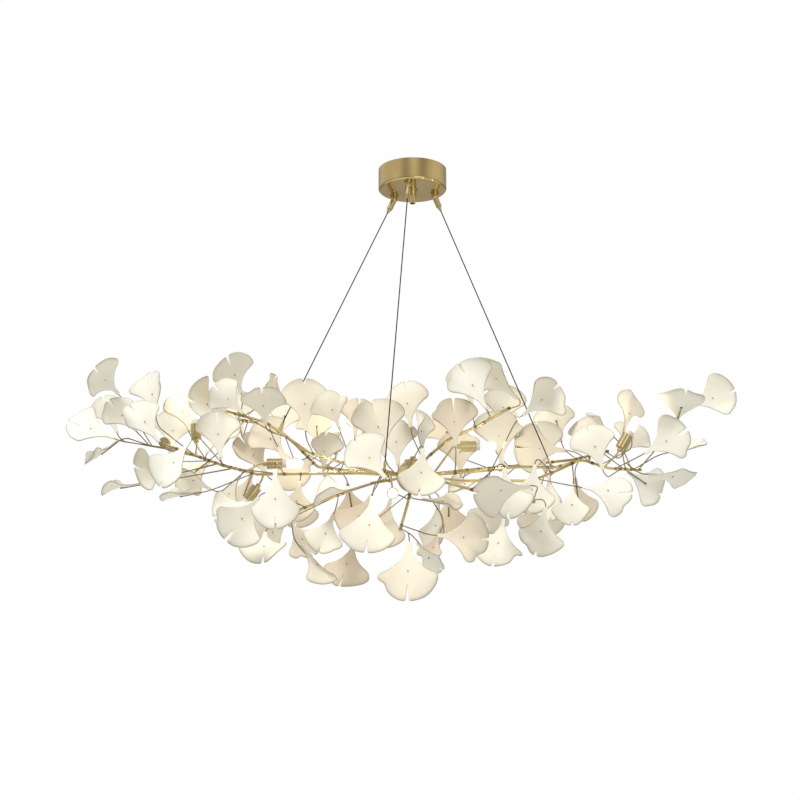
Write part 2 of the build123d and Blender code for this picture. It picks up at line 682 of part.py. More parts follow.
# Grippers: a stud and flange at the canopy, and a barrel that follows the cable
with BuildPart() as cable_grippers:
    for clip in CLIPS:
        ball, along = gripper_ball(clip), cable_direction(clip)
        stud_top = Vector(ball.X, ball.Y, CANOPY_WALL - CANOPY_DEPTH + GRIPPER_STUD_ABOVE)
        flange_top = Vector(ball.X, ball.Y, -CANOPY_DEPTH)
        round_bar(stud_top, DOWN, stud_top.Z - ball.Z, GRIPPER_STUD_RADIUS)
        round_bar(flange_top, DOWN, GRIPPER_FLANGE_HEIGHT, GRIPPER_FLANGE_RADIUS)
        with Locations(ball):
            Sphere(GRIPPER_BALL_RADIUS)
        round_bar(ball, along, GRIPPER_BARREL_END, GRIPPER_BARREL_RADIUS)
    for clip in CLIPS:
        ball, along = gripper_ball(clip), cable_direction(clip)
        seat = PLUNGER_SEAT + PLUNGER_TRAVEL + PLUNGER_ROOM
        round_bar(ball + along * CABLE_TOP, along, GRIPPER_BARREL_END, CABLE_RADIUS + FIT, Mode.SUBTRACT)
        seat_top = ball + along * (GRIPPER_BARREL_END - seat)
        round_bar(seat_top, along, seat + FIT, PLUNGER_RADIUS + SLIDE, Mode.SUBTRACT)
export_piece(cable_grippers.part, "cable_grippers")

with BuildPart() as gripper_nuts:
    with BuildSketch(Plane.XY.offset(CANOPY_WALL - CANOPY_DEPTH)):
        with Locations(*[(gripper_ball(clip).X, gripper_ball(clip).Y) for clip in CLIPS]):
            RegularPolygon(GRIPPER_NUT_ACROSS / 2, 6, major_radius=False)
            Circle(GRIPPER_STUD_RADIUS + FIT, mode=Mode.SUBTRACT)
    extrude(amount=GRIPPER_NUT_HEIGHT)
export_piece(gripper_nuts.part, "gripper_nuts")

# Release plunger of each gripper, a taper with the cable through it
for number, clip in enumerate(CLIPS, start=1):
    top = gripper_ball(clip) + cable_direction(clip) * (GRIPPER_BARREL_END - PLUNGER_SEAT)
    length = PLUNGER_SEAT + PLUNGER_OUT
    with BuildPart() as plunger:
        with BuildSketch(Plane.XZ):
            with BuildLine():
                Polyline(
                    (CABLE_RADIUS + SLIDE, 0),
                    (PLUNGER_RADIUS, 0),
                    (PLUNGER_RADIUS, length - PLUNGER_TAPER),
                    (PLUNGER_TIP_RADIUS, length),
                    (CABLE_RADIUS + SLIDE, length),
                    close=True,
                )
            make_face()
        revolve(axis=Axis.Z)
    plunger.part.locate(Plane(top, z_dir=cable_direction(clip)).location)
    export_piece(plunger.part, f"gripper_plunger_{number}")

# Steel cables, straight from gripper to clip
for number, clip in enumerate(CLIPS, start=1):
    ball, along = gripper_ball(clip), cable_direction(clip)
    length = (clip_place(clip)[0] - ball).length - CABLE_TOP - CABLE_END
    with BuildPart() as cable:
        round_bar(ball + along * CABLE_TOP, along, length, CABLE_RADIUS)
    export_piece(cable.part, f"cable_{number}")

# Clips that hold the cables' lower ends to their boughs
with BuildPart() as cable_clips:
    for clip in CLIPS:
        collar, along = clip_place(clip), cable_direction(clip)
        round_bar(collar[0], -along, CLIP_LENGTH, CLIP_RADIUS)
        bough_collar(*collar)
        round_bar(collar[0] - along * CABLE_END, -along, CLIP_LENGTH, CABLE_RADIUS + FIT, Mode.SUBTRACT)
export_piece(cable_clips.part, "cable_clips")

# Ball hub with a hole for each bough and a flat for its cap
with BuildPart() as hub:
    middle = Vector(0, 0, HUB_UP)
    with Locations(middle):
        Sphere(HUB_RADIUS)
        Sphere(HUB_RADIUS - HUB_WALL, mode=Mode.SUBTRACT)
    round_bar(middle + UP * HUB_FLAT, UP, HUB_RADIUS, HUB_RADIUS, Mode.SUBTRACT)
    for name in BOUGHS:
        way = bough_points(name)[1] - middle
        round_bar(middle, way.normalized(), 2 * HUB_RADIUS, BOUGH_RADIUS + FIT, Mode.SUBTRACT)
export_piece(hub.part, "hub")

with BuildPart() as hub_cap:
    seat = Vector(0, 0, HUB_UP + HUB_FLAT)
    mouth = math.sqrt((HUB_RADIUS - HUB_WALL) ** 2 - HUB_FLAT**2)
    round_bar(seat, UP, HUB_CAP_HEIGHT, math.sqrt(HUB_RADIUS**2 - HUB_FLAT**2))
    round_bar(seat, UP, HUB_KNOB_HEIGHT, HUB_KNOB_RADIUS)
    round_bar(seat, DOWN, HUB_SPIGOT, mouth - FIT)
export_piece(hub_cap.part, "hub_cap")

# Boughs
for name in BOUGHS:
    corners = bough_points(name)
    with BuildPart() as bough:
        rod(corners, widest_bends(corners, BOUGH_BEND), BOUGH_RADIUS)
    export_piece(bough.part, f"bough_{name}")

# Twigs and leaves of each spray
for spray, (bough_name, leaves) in SPRAYS.items():
    with BuildPart() as twigs:
        for corners, bends, collar in TWIG_PATHS[spray]:
            rod(corners, bends, TWIG_RADIUS)
        for corners, bends, collar in TWIG_PATHS[spray]:
            if collar is not None:
                bough_collar(*collar)
    export_piece(twigs.part, f"twigs_{spray}")
    with BuildPart() as porcelain:
        add([leaf_blank(leaf.form, leaf.size).moved(leaf_plane(leaf).location) for leaf in leaves])
    export_piece(porcelain.part, f"leaves_{spray}")

# Lamps: arm, sleeve, ceramic insert and capsule bulb
with BuildPart() as lamp_arms:
    for corners, bends, collar in ARM_PATHS:
        rod(corners, bends, ARM_RADIUS)
        bough_collar(*collar)
export_piece(lamp_arms.part, "lamp_arms")

SOCKET_RADIUS = SLEEVE_RADIUS - SLEEVE_WALL
INSERT_FACE = SLEEVE_LENGTH - INSERT_RECESS

with BuildPart() as sleeve:
    round_bar(Vector(0, 0, 0), UP, SLEEVE_LENGTH, SLEEVE_RADIUS)
    round_bar(Vector(0, 0, SLEEVE_BACK), UP, SLEEVE_LENGTH, SOCKET_RADIUS, Mode.SUBTRACT)
    round_bar(Vector(0, 0, -BUSH_LENGTH), UP, BUSH_LENGTH, BUSH_RADIUS)
    round_bar(Vector(0, 0, -BUSH_LENGTH), UP, ARM_IN_BUSH + FIT, ARM_RADIUS + FIT, Mode.SUBTRACT)

with BuildPart() as insert:
    round_bar(Vector(0, 0, SLEEVE_BACK), UP, INSERT_FACE - SLEEVE_BACK, SOCKET_RADIUS - FIT)
    for side in (-1, 1):
        hole = Vector(side * PIN_SPACING / 2, 0, INSERT_FACE - PIN_LENGTH - FIT)
        round_bar(hole, UP, SLEEVE_LENGTH, PIN_RADIUS + FIT, Mode.SUBTRACT)

with BuildPart() as bulb_base:
    round_bar(Vector(0, 0, INSERT_FACE), UP, BULB_BASE_HEIGHT, BULB_BASE_RADIUS)
    for side in (-1, 1):
        pin = Vector(side * PIN_SPACING / 2, 0, INSERT_FACE - PIN_LENGTH)
        round_bar(pin, UP, PIN_LENGTH, PIN_RADIUS)

with BuildPart() as bulb_glass:
    with BuildSketch(Plane.XZ) as capsule:
        with Locations((0, INSERT_FACE + BULB_BASE_HEIGHT)):
            Rectangle(BULB_RADIUS, BULB_LENGTH, align=(Align.MIN, Align.MIN))
        fillet(capsule.vertices().group_by(Axis.Y)[-1].sort_by(Axis.X)[-1], BULB_DOME)
    revolve(axis=Axis.Z)

for piece, name in (
    (sleeve.part, "lamp_sleeves"),
    (insert.part, "lamp_inserts"),
    (bulb_base.part, "bulb_bases"),
    (bulb_glass.part, "bulb_capsules"),
):
    with BuildPart() as lamp_set:
        add([piece.moved(lamp_plane(lamp).location) for lamp in LAMPS])
    export_piece(lamp_set.part, name)
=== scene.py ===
"""A ceramic leaf chandelier: brass boughs and cup, porcelain leaves, steel cables and lit lamps."""

import json
import math
import random
from collections import namedtuple

import bmesh
import bpy
from mathutils import Matrix, Vector, kdtree, noise
from mathutils.bvhtree import BVHTree


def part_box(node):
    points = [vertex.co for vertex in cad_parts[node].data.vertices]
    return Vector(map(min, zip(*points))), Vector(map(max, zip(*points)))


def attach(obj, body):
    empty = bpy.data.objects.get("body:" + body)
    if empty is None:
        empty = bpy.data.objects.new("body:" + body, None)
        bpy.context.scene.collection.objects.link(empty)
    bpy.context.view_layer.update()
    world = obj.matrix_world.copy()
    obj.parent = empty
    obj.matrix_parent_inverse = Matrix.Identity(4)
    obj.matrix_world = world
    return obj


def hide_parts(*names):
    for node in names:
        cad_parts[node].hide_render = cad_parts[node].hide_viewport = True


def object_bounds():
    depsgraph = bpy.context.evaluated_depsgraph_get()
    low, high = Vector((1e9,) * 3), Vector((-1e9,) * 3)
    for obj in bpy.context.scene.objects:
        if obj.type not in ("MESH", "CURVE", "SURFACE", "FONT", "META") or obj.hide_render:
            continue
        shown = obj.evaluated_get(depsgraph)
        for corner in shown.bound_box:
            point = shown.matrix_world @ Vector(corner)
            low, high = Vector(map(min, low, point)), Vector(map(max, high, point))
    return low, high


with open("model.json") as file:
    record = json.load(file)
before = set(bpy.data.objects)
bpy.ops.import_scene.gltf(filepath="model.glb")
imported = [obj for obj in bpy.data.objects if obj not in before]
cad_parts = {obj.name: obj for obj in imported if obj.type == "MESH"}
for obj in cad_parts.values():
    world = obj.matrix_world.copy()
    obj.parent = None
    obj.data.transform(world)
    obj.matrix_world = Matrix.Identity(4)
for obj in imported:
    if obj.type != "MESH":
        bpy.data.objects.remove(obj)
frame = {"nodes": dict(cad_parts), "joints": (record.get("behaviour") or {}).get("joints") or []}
CAD_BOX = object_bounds()

BODY = "chandelier"

# Camera at the photograph's viewing angle, in metres, degrees and millimetres of lens
CAMERA_PLACE = (-0.022, -2.4, -0.983)
CAMERA_TILT = 13.28
CAMERA_LENS = 65.25

# Cables
CABLE_NUMBERS = (1, 2, 3)
CABLE_RADIUS = 0.001
CABLE_ROUNDNESS = 3
RELEASE_AXES = {joint["name"]: Vector(joint["axis"]).normalized() for joint in frame["joints"]}

# A leaf of size 1, flat: its stalk, its fan round a point on its midline, and its notch
LEAF_LENGTH = 0.084
LEAF_THICKNESS = 0.0025
STALK_LENGTH = 0.014
STALK_END = 0.003
STALK_TOP = 0.004
FAN_CENTRE = 0.039
FAN_RADIUS = 0.045
FAN_ANGLE = math.radians(75.9)
FLANK_FLARE = math.radians(24)
LEAST_TURN = 1e-5
NOTCH_FOOT = 0.062
NOTCH_HALF_WIDTH = 0.002
NOTCH_REACH = 5
CORNER_START = 0.82
HOLE_UP = 0.042

# The square grid that half a leaf is laid out on, and the share of its rows that the stalk takes
GRID_HALF = 0.5
LEAF_COLUMNS = 9
LEAF_ROWS = 17
STALK_SHARE = 0.18
MIRROR_GAP = 1e-5
LEAF_SUBDIVISIONS = 1

# How much leaves differ at the lip: its scallops, its dent, its roll and its flutter
SCALLOP = 0.03
SCALLOP_WAVES = 2.2
DENT_DEPTH = 0.14
DENT_HALF_WIDTH = 0.11
DENT_NEAREST = 0.38
DENT_FARTHEST = 0.72
LIP_ROLL = 0.018
LIP_ROLL_WAVES = 1.4
LIP_ROLL_POWER = 4
FLUTTER = 0.0022
FLUTTER_SCALE = 26

# How much higher a notch's foot can be, and how much smaller one lobe
NOTCH_RISE = 0.016
LOBE_DRAW = 0.06

# Steps through the noise from leaf to leaf, and the noise's layers for scallops and roll
SCALLOP_STEP = 3.7
SCALLOP_LAYER = 0.5
LIP_ROLL_STEP = 2.3
LIP_ROLL_LAYER = 7.5
FLUTTER_STEP = 5.3

# A leaf's tone, which rises from cool to warm, partly at random. Leaves at the ends and in front are
# cooler, and those in the middle and at the back warmer, as a painted warm lamp glow and shade
TONE_LEAST = 0.35
TONE_MOST = 1.0
TONE_POWER = 1.3
GLOW_FADE_AT_ENDS = 0.8
HALF_LENGTH = 0.56
GLOW_FADE_AT_FRONT = 0.35
HALF_DEPTH = 0.235

# The tone of points that have none yet
UNSET_TONE = 0.0

# Chance that sets leaves apart
CHANCE = random.Random(7)

# Bends that a leaf can have at size 1: radius, narrowing, and whether its halves bend opposite ways
Bend = namedtuple("Bend", "radius narrowing waved")
BENDS = (
    Bend(0.130, 1.0, False),
    Bend(0.062, 1.0, False),
    Bend(0.040, 0.82, False),
    Bend(0.070, 1.0, True),
)

# Where a leaf sits: the end of its stalk, its three directions, its size and its bend
Seat = namedtuple("Seat", "stalk across along face size bend")

# What sets a leaf apart: its notch, its tone with a painted lamp glow and shade by where it hangs, the side
# of its smaller lobe, and its dent on that side
Quirk = namedtuple("Quirk", "notch_foot tone small_side lobe_draw dent_depth dent_place")

SPRAYS = (
    "left_tip",
    "left",
    "upper_left",
    "back_left",
    "front_left",
    "front",
    "low",
    "upper",
    "front_right",
    "lower_right",
    "right",
    "right_tip",
    "back_right",
)

# Reading a packed leaf: points closer than the gap are one, and its hole's mouths are small sharp rings
MERGE_GAP = 1e-6
SHARP_ANGLE = math.radians(60)
HOLE_REACH = 0.002
HOLE_LEAST_POINTS = 6

# The end of a packed leaf's stalk is the narrowest of its far ends
FAR_SHARE = 0.85
STALK_TEST = 0.66
STALK_END_DEPTH = 0.001

# Collars that stand this far off their bough at most are drawn close to it, to a share of their wall
COLLAR_REACH = 0.0014
COLLAR_SHARE = 0.3
CREASE_ANGLE = math.radians(35)

# Bead on the end of the wire that holds a leaf
BEAD_RADIUS = 0.0018
BEAD_OUT = 0.0018
BEAD_SUBDIVISIONS = 2
WIRE_OUT = 0.0028

# Brasses: two tones, and the roughness at each
Brass = namedtuple("Brass", "bright dull smooth rough")
BRASSES = {
    "polished_brass": Brass((0.78, 0.64, 0.33, 1), (0.48, 0.38, 0.18, 1), 0.15, 0.28),
    "canopy_brass": Brass((0.68, 0.51, 0.235, 1), (0.57, 0.41, 0.17, 1), 0.08, 0.15),
    "bough_brass": Brass((0.86, 0.70, 0.34, 1), (0.50, 0.38, 0.16, 1), 0.18, 0.30),
    "twig_brass": Brass((0.46, 0.36, 0.18, 1), (0.14, 0.105, 0.05, 1), 0.22, 0.36),
    "dark_brass": Brass((0.20, 0.15, 0.08, 1), (0.13, 0.09, 0.05, 1), 0.25, 0.4),
}
BRASS_TONE_SCALE = 22
BRASS_TONE_CONTRAST = 2.4
BRASS_TONE_SHIFT = 0.7
BRASS_GRAIN_SCALE = 900
BRASS_RELIEF = 0.03

# Mottled finishes: scale, two colours, share of metal, least roughness and its rise, and relief
Mottle = namedtuple("Mottle", "material scale first second metallic smooth rise relief")
MOTTLES = {
    "blackened_brass": Mottle(
        "blackened_brass", 600, (0.045, 0.036, 0.026, 1), (0.07, 0.055, 0.035, 1), 0.3, 0.5, 0.2, 0.0
    ),
    "plated_steel": Mottle(
        "zinc_plate", 180, (0.62, 0.62, 0.60, 1), (0.50, 0.50, 0.48, 1), 1.0, 0.3, 0.15, 0.0
    ),
    "socket_ceramic": Mottle(
        "glazed_steatite", 400, (0.80, 0.77, 0.70, 1), (0.72, 0.68, 0.60, 1), 0.0, 0.3, 0.15, 0.1
    ),
    "terminal_plastic": Mottle(
        "moulded_nylon", 500, (0.78, 0.78, 0.76, 1), (0.70, 0.70, 0.68, 1), 0.0, 0.45, 0.1, 0.1
    ),
}

# Porcelain: its colours, its clouds, its grain, its veins and its rim, darkened as painted shade
PORCELAIN_COOL = (0.87, 0.88, 0.80, 1)
# The warm colour is also the painted lamp glow and shade of the inner leaves
PORCELAIN_WARM_AND_GLOW = (0.75, 0.61, 0.43, 1)
PORCELAIN_CLOUD = (0.78, 0.76, 0.66, 1)
PORCELAIN_RIM_SHADE = (0.34, 0.31, 0.22, 1)
PORCELAIN_SMOOTH = 0.46
PORCELAIN_RISE = 0.14
CLOUD_SCALE = 30
CLOUD_STRENGTH = 0.5
PORCELAIN_GRAIN_SCALE = 1500
VEINS_ACROSS = 26
VEINS_ALONG = 1.5
VEINS_APART = 40
VEIN_SHARE = 0.8
PORCELAIN_RELIEF = 0.25
PORCELAIN_RELIEF_DEPTH = 0.0006
RIM_SHADE_SHARPNESS = 30
RIM_SHADE_STRENGTH = 0.75

# Steel strand: its colours, darker in the hollows between strands as painted shade, and its strands' count
# round the cable and turns along it
STRAND_HOLLOW_SHADE = (0.015, 0.015, 0.015, 1)
STRAND_CREST = (0.05, 0.05, 0.05, 1)
STRANDS = 6
STRAND_TURNS = 300
STRAND_ROUGH = 0.5
STRAND_FALL = 0.15
STRAND_RELIEF = 0.6

# Lit bulbs: their frosted glass, its glow, and the light just past it
BULB_GLASS = (0.95, 0.92, 0.85, 1)
BULB_GLOW_DEEP = (1.0, 0.80, 0.50, 1)
BULB_GLOW_PALE = (1.0, 0.90, 0.70, 1)
BULB_FROST_SCALE = 700
BULB_SMOOTH = 0.15
BULB_RISE = 0.15
BULB_LIGHT_POWER = 0.07
BULB_LIGHT_COLOUR = (1.0, 0.82, 0.6)
BULB_LIGHT_RADIUS = 0.006
BULB_LIGHT_OUT = 0.024

# Depth of the relief on metal, sockets and plastic
RELIEF_DEPTH = 0.0002

# Studio: white to the camera. As a light it is dim below one height and bright above another, in bands
STUDIO_WHITE = (1, 1, 1, 1)
STUDIO_DIM = (0.36, 0.36, 0.355, 1)
STUDIO_BRIGHT = (0.60, 0.60, 0.59, 1)
DIM_HEIGHT = -0.4
BRIGHT_HEIGHT = 0.5
BAND_RATE = 7.0
BAND_START = 1.0
BAND_DEPTH = 0.3

# Softboxes: place and aim in metres, size in metres, power in watts, and whether the brass mirrors it
Softbox = namedtuple("Softbox", "place aim size power mirrored")
SOFTBOXES = {
    "key": Softbox((-1.2, -1.7, 1.9), (0, 0, -0.55), 1.1, 72, False),
    "glint": Softbox((-1.2, -1.7, 1.9), (0, 0, -0.55), 1.6, 18, True),
    "fill": Softbox((0.9, -2.2, -0.9), (-0.2, 0, -0.55), 1.5, 8, True),
}

# Floor, a room's height under the ceiling
FLOOR_HEIGHT = -2.4
FLOOR_RADIUS = 3.2
FLOOR_SIDES = 128
FLOOR_PALE = (0.86, 0.86, 0.85, 1)
FLOOR_GREY = (0.83, 0.83, 0.82, 1)
FLOOR_GLOW = (1.0, 1.0, 0.98, 1.0)
FLOOR_GRAIN_SCALE = 3

# Inputs and output of a colour Mix node
MIX_FACTOR = 0
MIX_FIRST = 6
MIX_SECOND = 7
MIX_COLOUR = 2


# Shader nodes


class Wire:
    """One node's output. Sums that are written with it add Math nodes to its shading."""

    def __init__(self, shading, socket):
        self.shading = shading
        self.socket = socket

    def __add__(self, other):
        return self.shading.maths("ADD", self, other)

    def __radd__(self, other):
        return self.shading.maths("ADD", other, self)

    def __sub__(self, other):
        return self.shading.maths("SUBTRACT", self, other)

    def __rsub__(self, other):
        return self.shading.maths("SUBTRACT", other, self)

    def __mul__(self, other):
        return self.shading.maths("MULTIPLY", self, other)

    def __rmul__(self, other):
        return self.shading.maths("MULTIPLY", other, self)

    def __pow__(self, other):
        return self.shading.maths("POWER", self, other)

    def __rpow__(self, other):
        return self.shading.maths("POWER", other, self)

    def __abs__(self):
        return self.shading.maths("ABSOLUTE", self)


class Shading:
    """The shader of one material or world, with one method that adds any node to it."""

    def __init__(self, owner):
        owner.use_nodes = True
        self.owner = owner
        self.tree = owner.node_tree
        self.tree.nodes.clear()

    def node(self, kind, settings, sockets, output=0):
        made = self.tree.nodes.new(kind)
        for setting, value in settings.items():
            setattr(made, setting, value)
        for socket, value in sockets.items():
            if isinstance(value, Wire):
                self.tree.links.new(value.socket, made.inputs[socket])
            else:
                made.inputs[socket].default_value = value
        return Wire(self, made.outputs[output]) if made.outputs else None

    def maths(self, operation, *values):
        return self.node("ShaderNodeMath", {"operation": operation}, dict(enumerate(values)))

    def axis(self, vector, letter):
        return self.node("ShaderNodeSeparateXYZ", {}, {"Vector": vector}, letter)

    def trait(self, name):
        return self.node("ShaderNodeAttribute", {"attribute_name": name}, {}, "Fac")

    def noise(self, place, scale, detail):
        return self.node("ShaderNodeTexNoise", {}, {"Vector": place, "Scale": scale, "Detail": detail})

    def speckle(self, scale, detail=3):
        place = self.node("ShaderNodeTexCoord", {}, {}, "Object")
        return self.noise(place, scale, detail)

    def blend(self, factor, first, second):
        sockets = {MIX_FACTOR: factor, MIX_FIRST: first, MIX_SECOND: second}
        return self.node("ShaderNodeMix", {"data_type": "RGBA"}, sockets, MIX_COLOUR)

    def bump(self, height, strength, distance):
        sockets = {"Height": height, "Strength": strength, "Distance": distance}
        return self.node("ShaderNodeBump", {}, sockets)

    def surface(self, sockets):
        shader = self.node("ShaderNodeBsdfPrincipled", {}, sockets)
        self.node("ShaderNodeOutputMaterial", {}, {"Surface": shader})
        return self.owner


# Finishes


def new_finish(name):
    """Starts a material."""
    return Shading(bpy.data.materials.new(name))


def brass_finish(name, brass):
    """Brass with a slow change of tone and a fine grain."""
    finish = new_finish(f"{name}_finish")
    tone = finish.speckle(BRASS_TONE_SCALE) * BRASS_TONE_CONTRAST - BRASS_TONE_SHIFT
    grain = finish.speckle(BRASS_GRAIN_SCALE, detail=2)
    return finish.surface({
        "Base Color": finish.blend(tone, brass.bright, brass.dull),
        "Metallic": 1.0,
        "Roughness": brass.smooth + (brass.rough - brass.smooth) * (tone * 0.5 + grain * 0.5),
        "Normal": finish.bump(grain, BRASS_RELIEF, RELIEF_DEPTH),
    })


def mottled_finish(mottle):
    """A softly mottled finish, with relief where it has any."""
    finish = new_finish(mottle.material)
    tone = finish.speckle(mottle.scale)
    sockets = {
        "Base Color": finish.blend(tone, mottle.first, mottle.second),
        "Metallic": mottle.metallic,
        "Roughness": mottle.smooth + mottle.rise * tone,
    }
    if mottle.relief:
        sockets["Normal"] = finish.bump(tone, mottle.relief, RELIEF_DEPTH)
    return finish.surface(sockets)


def porcelain_finish():
    """Matt unglazed porcelain, cooler or warmer from leaf to leaf partly at random and partly as a painted
    lamp glow and shade, with clouds, fanned veins and a rim darkened as painted shade.
    """
    finish = new_finish("porcelain_bisque")
    tone = finish.trait("leaf_tone_and_glow")
    across = finish.trait("leaf_across")
    along = finish.trait("leaf_along")
    cloud = finish.speckle(CLOUD_SCALE)
    grain = finish.speckle(PORCELAIN_GRAIN_SCALE, detail=2)
    fan = {"X": across * VEINS_ACROSS, "Y": along * VEINS_ALONG, "Z": tone * VEINS_APART}
    veins = finish.noise(finish.node("ShaderNodeCombineXYZ", {}, fan), 1.0, 2)
    clouded = finish.blend(
        cloud * CLOUD_STRENGTH,
        finish.blend(tone, PORCELAIN_COOL, PORCELAIN_WARM_AND_GLOW),
        PORCELAIN_CLOUD,
    )
    rim = finish.maths("MAXIMUM", abs(across), along)
    relief = veins * VEIN_SHARE + grain * (1 - VEIN_SHARE)
    return finish.surface({
        # The leaf's outline is darkened here: painted shade along the edges of each leaf
        "Base Color": finish.blend(rim**RIM_SHADE_SHARPNESS * RIM_SHADE_STRENGTH, clouded, PORCELAIN_RIM_SHADE),
        "Roughness": PORCELAIN_SMOOTH + PORCELAIN_RISE * cloud,
        "Subsurface Weight": 0.35,
        "Subsurface Radius": (1.0, 0.9, 0.7),
        "Subsurface Scale": 0.004,
        "Normal": finish.bump(relief, PORCELAIN_RELIEF, PORCELAIN_RELIEF_DEPTH),
    })


def cable_finish():
    """Dark twisted steel strand, its twist drawn round and along the cable, with painted shade in the
    hollows between strands.
    """
    finish = new_finish("steel_strand")
    place = finish.node("ShaderNodeUVMap", {}, {})
    round_cable = finish.axis(place, "Y")
    along_cable = finish.axis(place, "X")
    twist = (round_cable * STRANDS + along_cable * STRAND_TURNS) * math.tau
    groove = finish.maths("SINE", twist) * 0.5 + 0.5
    return finish.surface({
        # Darker in the hollows of the twist: painted shade between the strands
        "Base Color": finish.blend(groove, STRAND_HOLLOW_SHADE, STRAND_CREST),
        "Metallic": 0.4,
        "Roughness": STRAND_ROUGH - STRAND_FALL * groove,
        "Specular IOR Level": 0.2,
        "Normal": finish.bump(groove, STRAND_RELIEF, RELIEF_DEPTH),
    })


def bulb_finish():
    """Frosted capsule glass, lit from inside."""
    finish = new_finish("lit_glass")
    frost = finish.speckle(BULB_FROST_SCALE, detail=2)
    return finish.surface({
        "Base Color": BULB_GLASS,
        "Roughness": BULB_SMOOTH + BULB_RISE * frost,
        "Emission Color": finish.blend(frost, BULB_GLOW_DEEP, BULB_GLOW_PALE),
        "Emission Strength": 2.5,
    })


def floor_finish():
    """Pale matt floor that glows a little, so that it runs into the white behind it."""
    finish = new_finish("pale_floor")
    grain = finish.speckle(FLOOR_GRAIN_SCALE)
    return finish.surface({
        "Base Color": finish.blend(grain, FLOOR_PALE, FLOOR_GREY),
        "Roughness": 0.7,
        "Emission Color": FLOOR_GLOW,
        "Emission Strength": 0.12,
    })


FINISHES = {
    **{name: brass_finish(name, brass) for name, brass in BRASSES.items()},
    **{name: mottled_finish(mottle) for name, mottle in MOTTLES.items()},
    "steel_cable": cable_finish(),
    "porcelain": porcelain_finish(),
    "bulb_glass": bulb_finish(),
}


def finish_name(node, slot):
    """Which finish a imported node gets: boughs, clips and the canopy have their own brass."""
    if node.startswith("bough_") or node == "cable_clips":
        return "bough_brass"
    if node == "canopy":
        return "canopy_brass"
    return slot


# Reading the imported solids


def packed_solids(node):
    """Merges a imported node's mesh and splits it into its solids, each a list of points of that shape."""
    shape = bmesh.new()
    shape.from_mesh(frame["nodes"][node].data)
    bmesh.ops.remove_doubles(shape, verts=shape.verts, dist=MERGE_GAP)
    shape.normal_update()
    solids = []
    for start in shape.verts:
        if start.tag:
            continue
        start.tag = True
        solid = [start]
        for reached in solid:
            for edge in reached.link_edges:
                other = edge.other_vert(reached)
                if not other.tag:
                    other.tag = True
                    solid.append(other)
        solids.append(solid)
    return shape, solids


def middle_of(points):
    """The mean place of some points."""
    return sum((point.co for point in points), Vector()) / len(points)


def sheet_height(across, size, bend):
    """How far a bent leaf stands off its plane at a distance from its midline."""
    radius = bend.radius * size
    height = radius - math.sqrt(max(radius * radius - across * across, 0.0))
    if bend.waved:
        return math.copysign(height, across)
    return height


def sharp_rings(solid):
    """Groups the points of a solid that sharp edges join."""
    waiting = dict.fromkeys(solid)
    rings = []
    while waiting:
        ring = [waiting.popitem()[0]]
        for reached in ring:
            for edge in reached.link_edges:
                other = edge.other_vert(reached)
                if other in waiting and edge.calc_face_angle(0.0) > SHARP_ANGLE:
                    del waiting[other]
                    ring.append(other)
        rings.append(ring)
    return rings


def is_hole(ring):
    """Whether a ring of points is one mouth of a leaf's small hole."""
    if len(ring) < HOLE_LEAST_POINTS:
        return False
    middle = middle_of(ring)
    return all((point.co - middle).length < HOLE_REACH for point in ring)


def read_seat(solid):
    """Finds where a packed leaf sits from its hole, the end of its stalk and the rise of its sheet."""
    first, second = (middle_of(ring) for ring in sharp_rings(solid) if is_hole(ring))
    hole = (first + second) / 2
    face = (first - second).normalized()
    offsets = [point.co - hole for point in solid]

    def width_towards(way):
        side = face.cross(way).normalized()
        past = [offset for offset in offsets if offset.dot(way) > STALK_TEST * way.dot(way)]
        return max(abs(offset.dot(side)) for offset in past)

    farthest = max(offset.length for offset in offsets)
    far_ends = [offset for offset in offsets if offset.length > FAR_SHARE * farthest]
    tail = min(far_ends, key=width_towards)
    end_start = tail.length - STALK_END_DEPTH
    stalk = middle_of([point for point in solid if (point.co - hole).dot(tail.normalized()) > end_start])
    along = (hole - stalk).normalized()
    across = along.cross(face).normalized()
    size = (hole - stalk).length / HOLE_UP

    def misfit(seat):
        total = 0.0
        for point in solid:
            place = point.co - seat.stalk
            total += abs(place.dot(seat.face) - sheet_height(place.dot(seat.across), size, seat.bend))
        return total

    seats = [
        Seat(stalk, side * across, along, (side * across).cross(along), size, bend)
        for side in (1, -1)
        for bend in BENDS
    ]
    return min(seats, key=misfit)


# Leaves


def rounded_corner(first, second):
    """Draws in the corner of a unit square, so that its two far sides run into one round end."""
    if min(first, second) <= CORNER_START:
        return first, second
    room = 1 - CORNER_START
    one = (first - CORNER_START) / room
    two = (second - CORNER_START) / room
    return (
        CORNER_START + room * one * math.sqrt(1 - two * two / 2),
        CORNER_START + room * two * math.sqrt(1 - one * one / 2),
    )


def leaf_outline(across, along, notch_foot):
    """Lays a point of a unit square on half of a flat leaf of size 1."""
    if along <= STALK_SHARE:
        up = along / STALK_SHARE
        return across * (STALK_END + (STALK_TOP - STALK_END) * up), STALK_LENGTH * up
    out = (along - STALK_SHARE) / (1 - STALK_SHARE)
    across, out = rounded_corner(across, out)
    angle = across * FAN_ANGLE
    start = across * STALK_TOP
    aside = FAN_RADIUS * math.sin(angle) - start
    up = FAN_CENTRE + FAN_RADIUS * math.cos(angle) - STALK_LENGTH
    flare = across * FLANK_FLARE
    half_turn = max(math.atan2(aside, up) - flare, LEAST_TURN)
    bend = math.hypot(aside, up) / (2 * math.sin(half_turn))
    x = start + bend * (math.cos(flare) - math.cos(flare + 2 * half_turn * out))
    y = STALK_LENGTH + bend * (math.sin(flare + 2 * half_turn * out) - math.sin(flare))
    if y > notch_foot:
        opening = NOTCH_HALF_WIDTH * (y - notch_foot) / (LEAF_LENGTH - notch_foot)
        x += opening * (1 - across) ** NOTCH_REACH
    return x, y


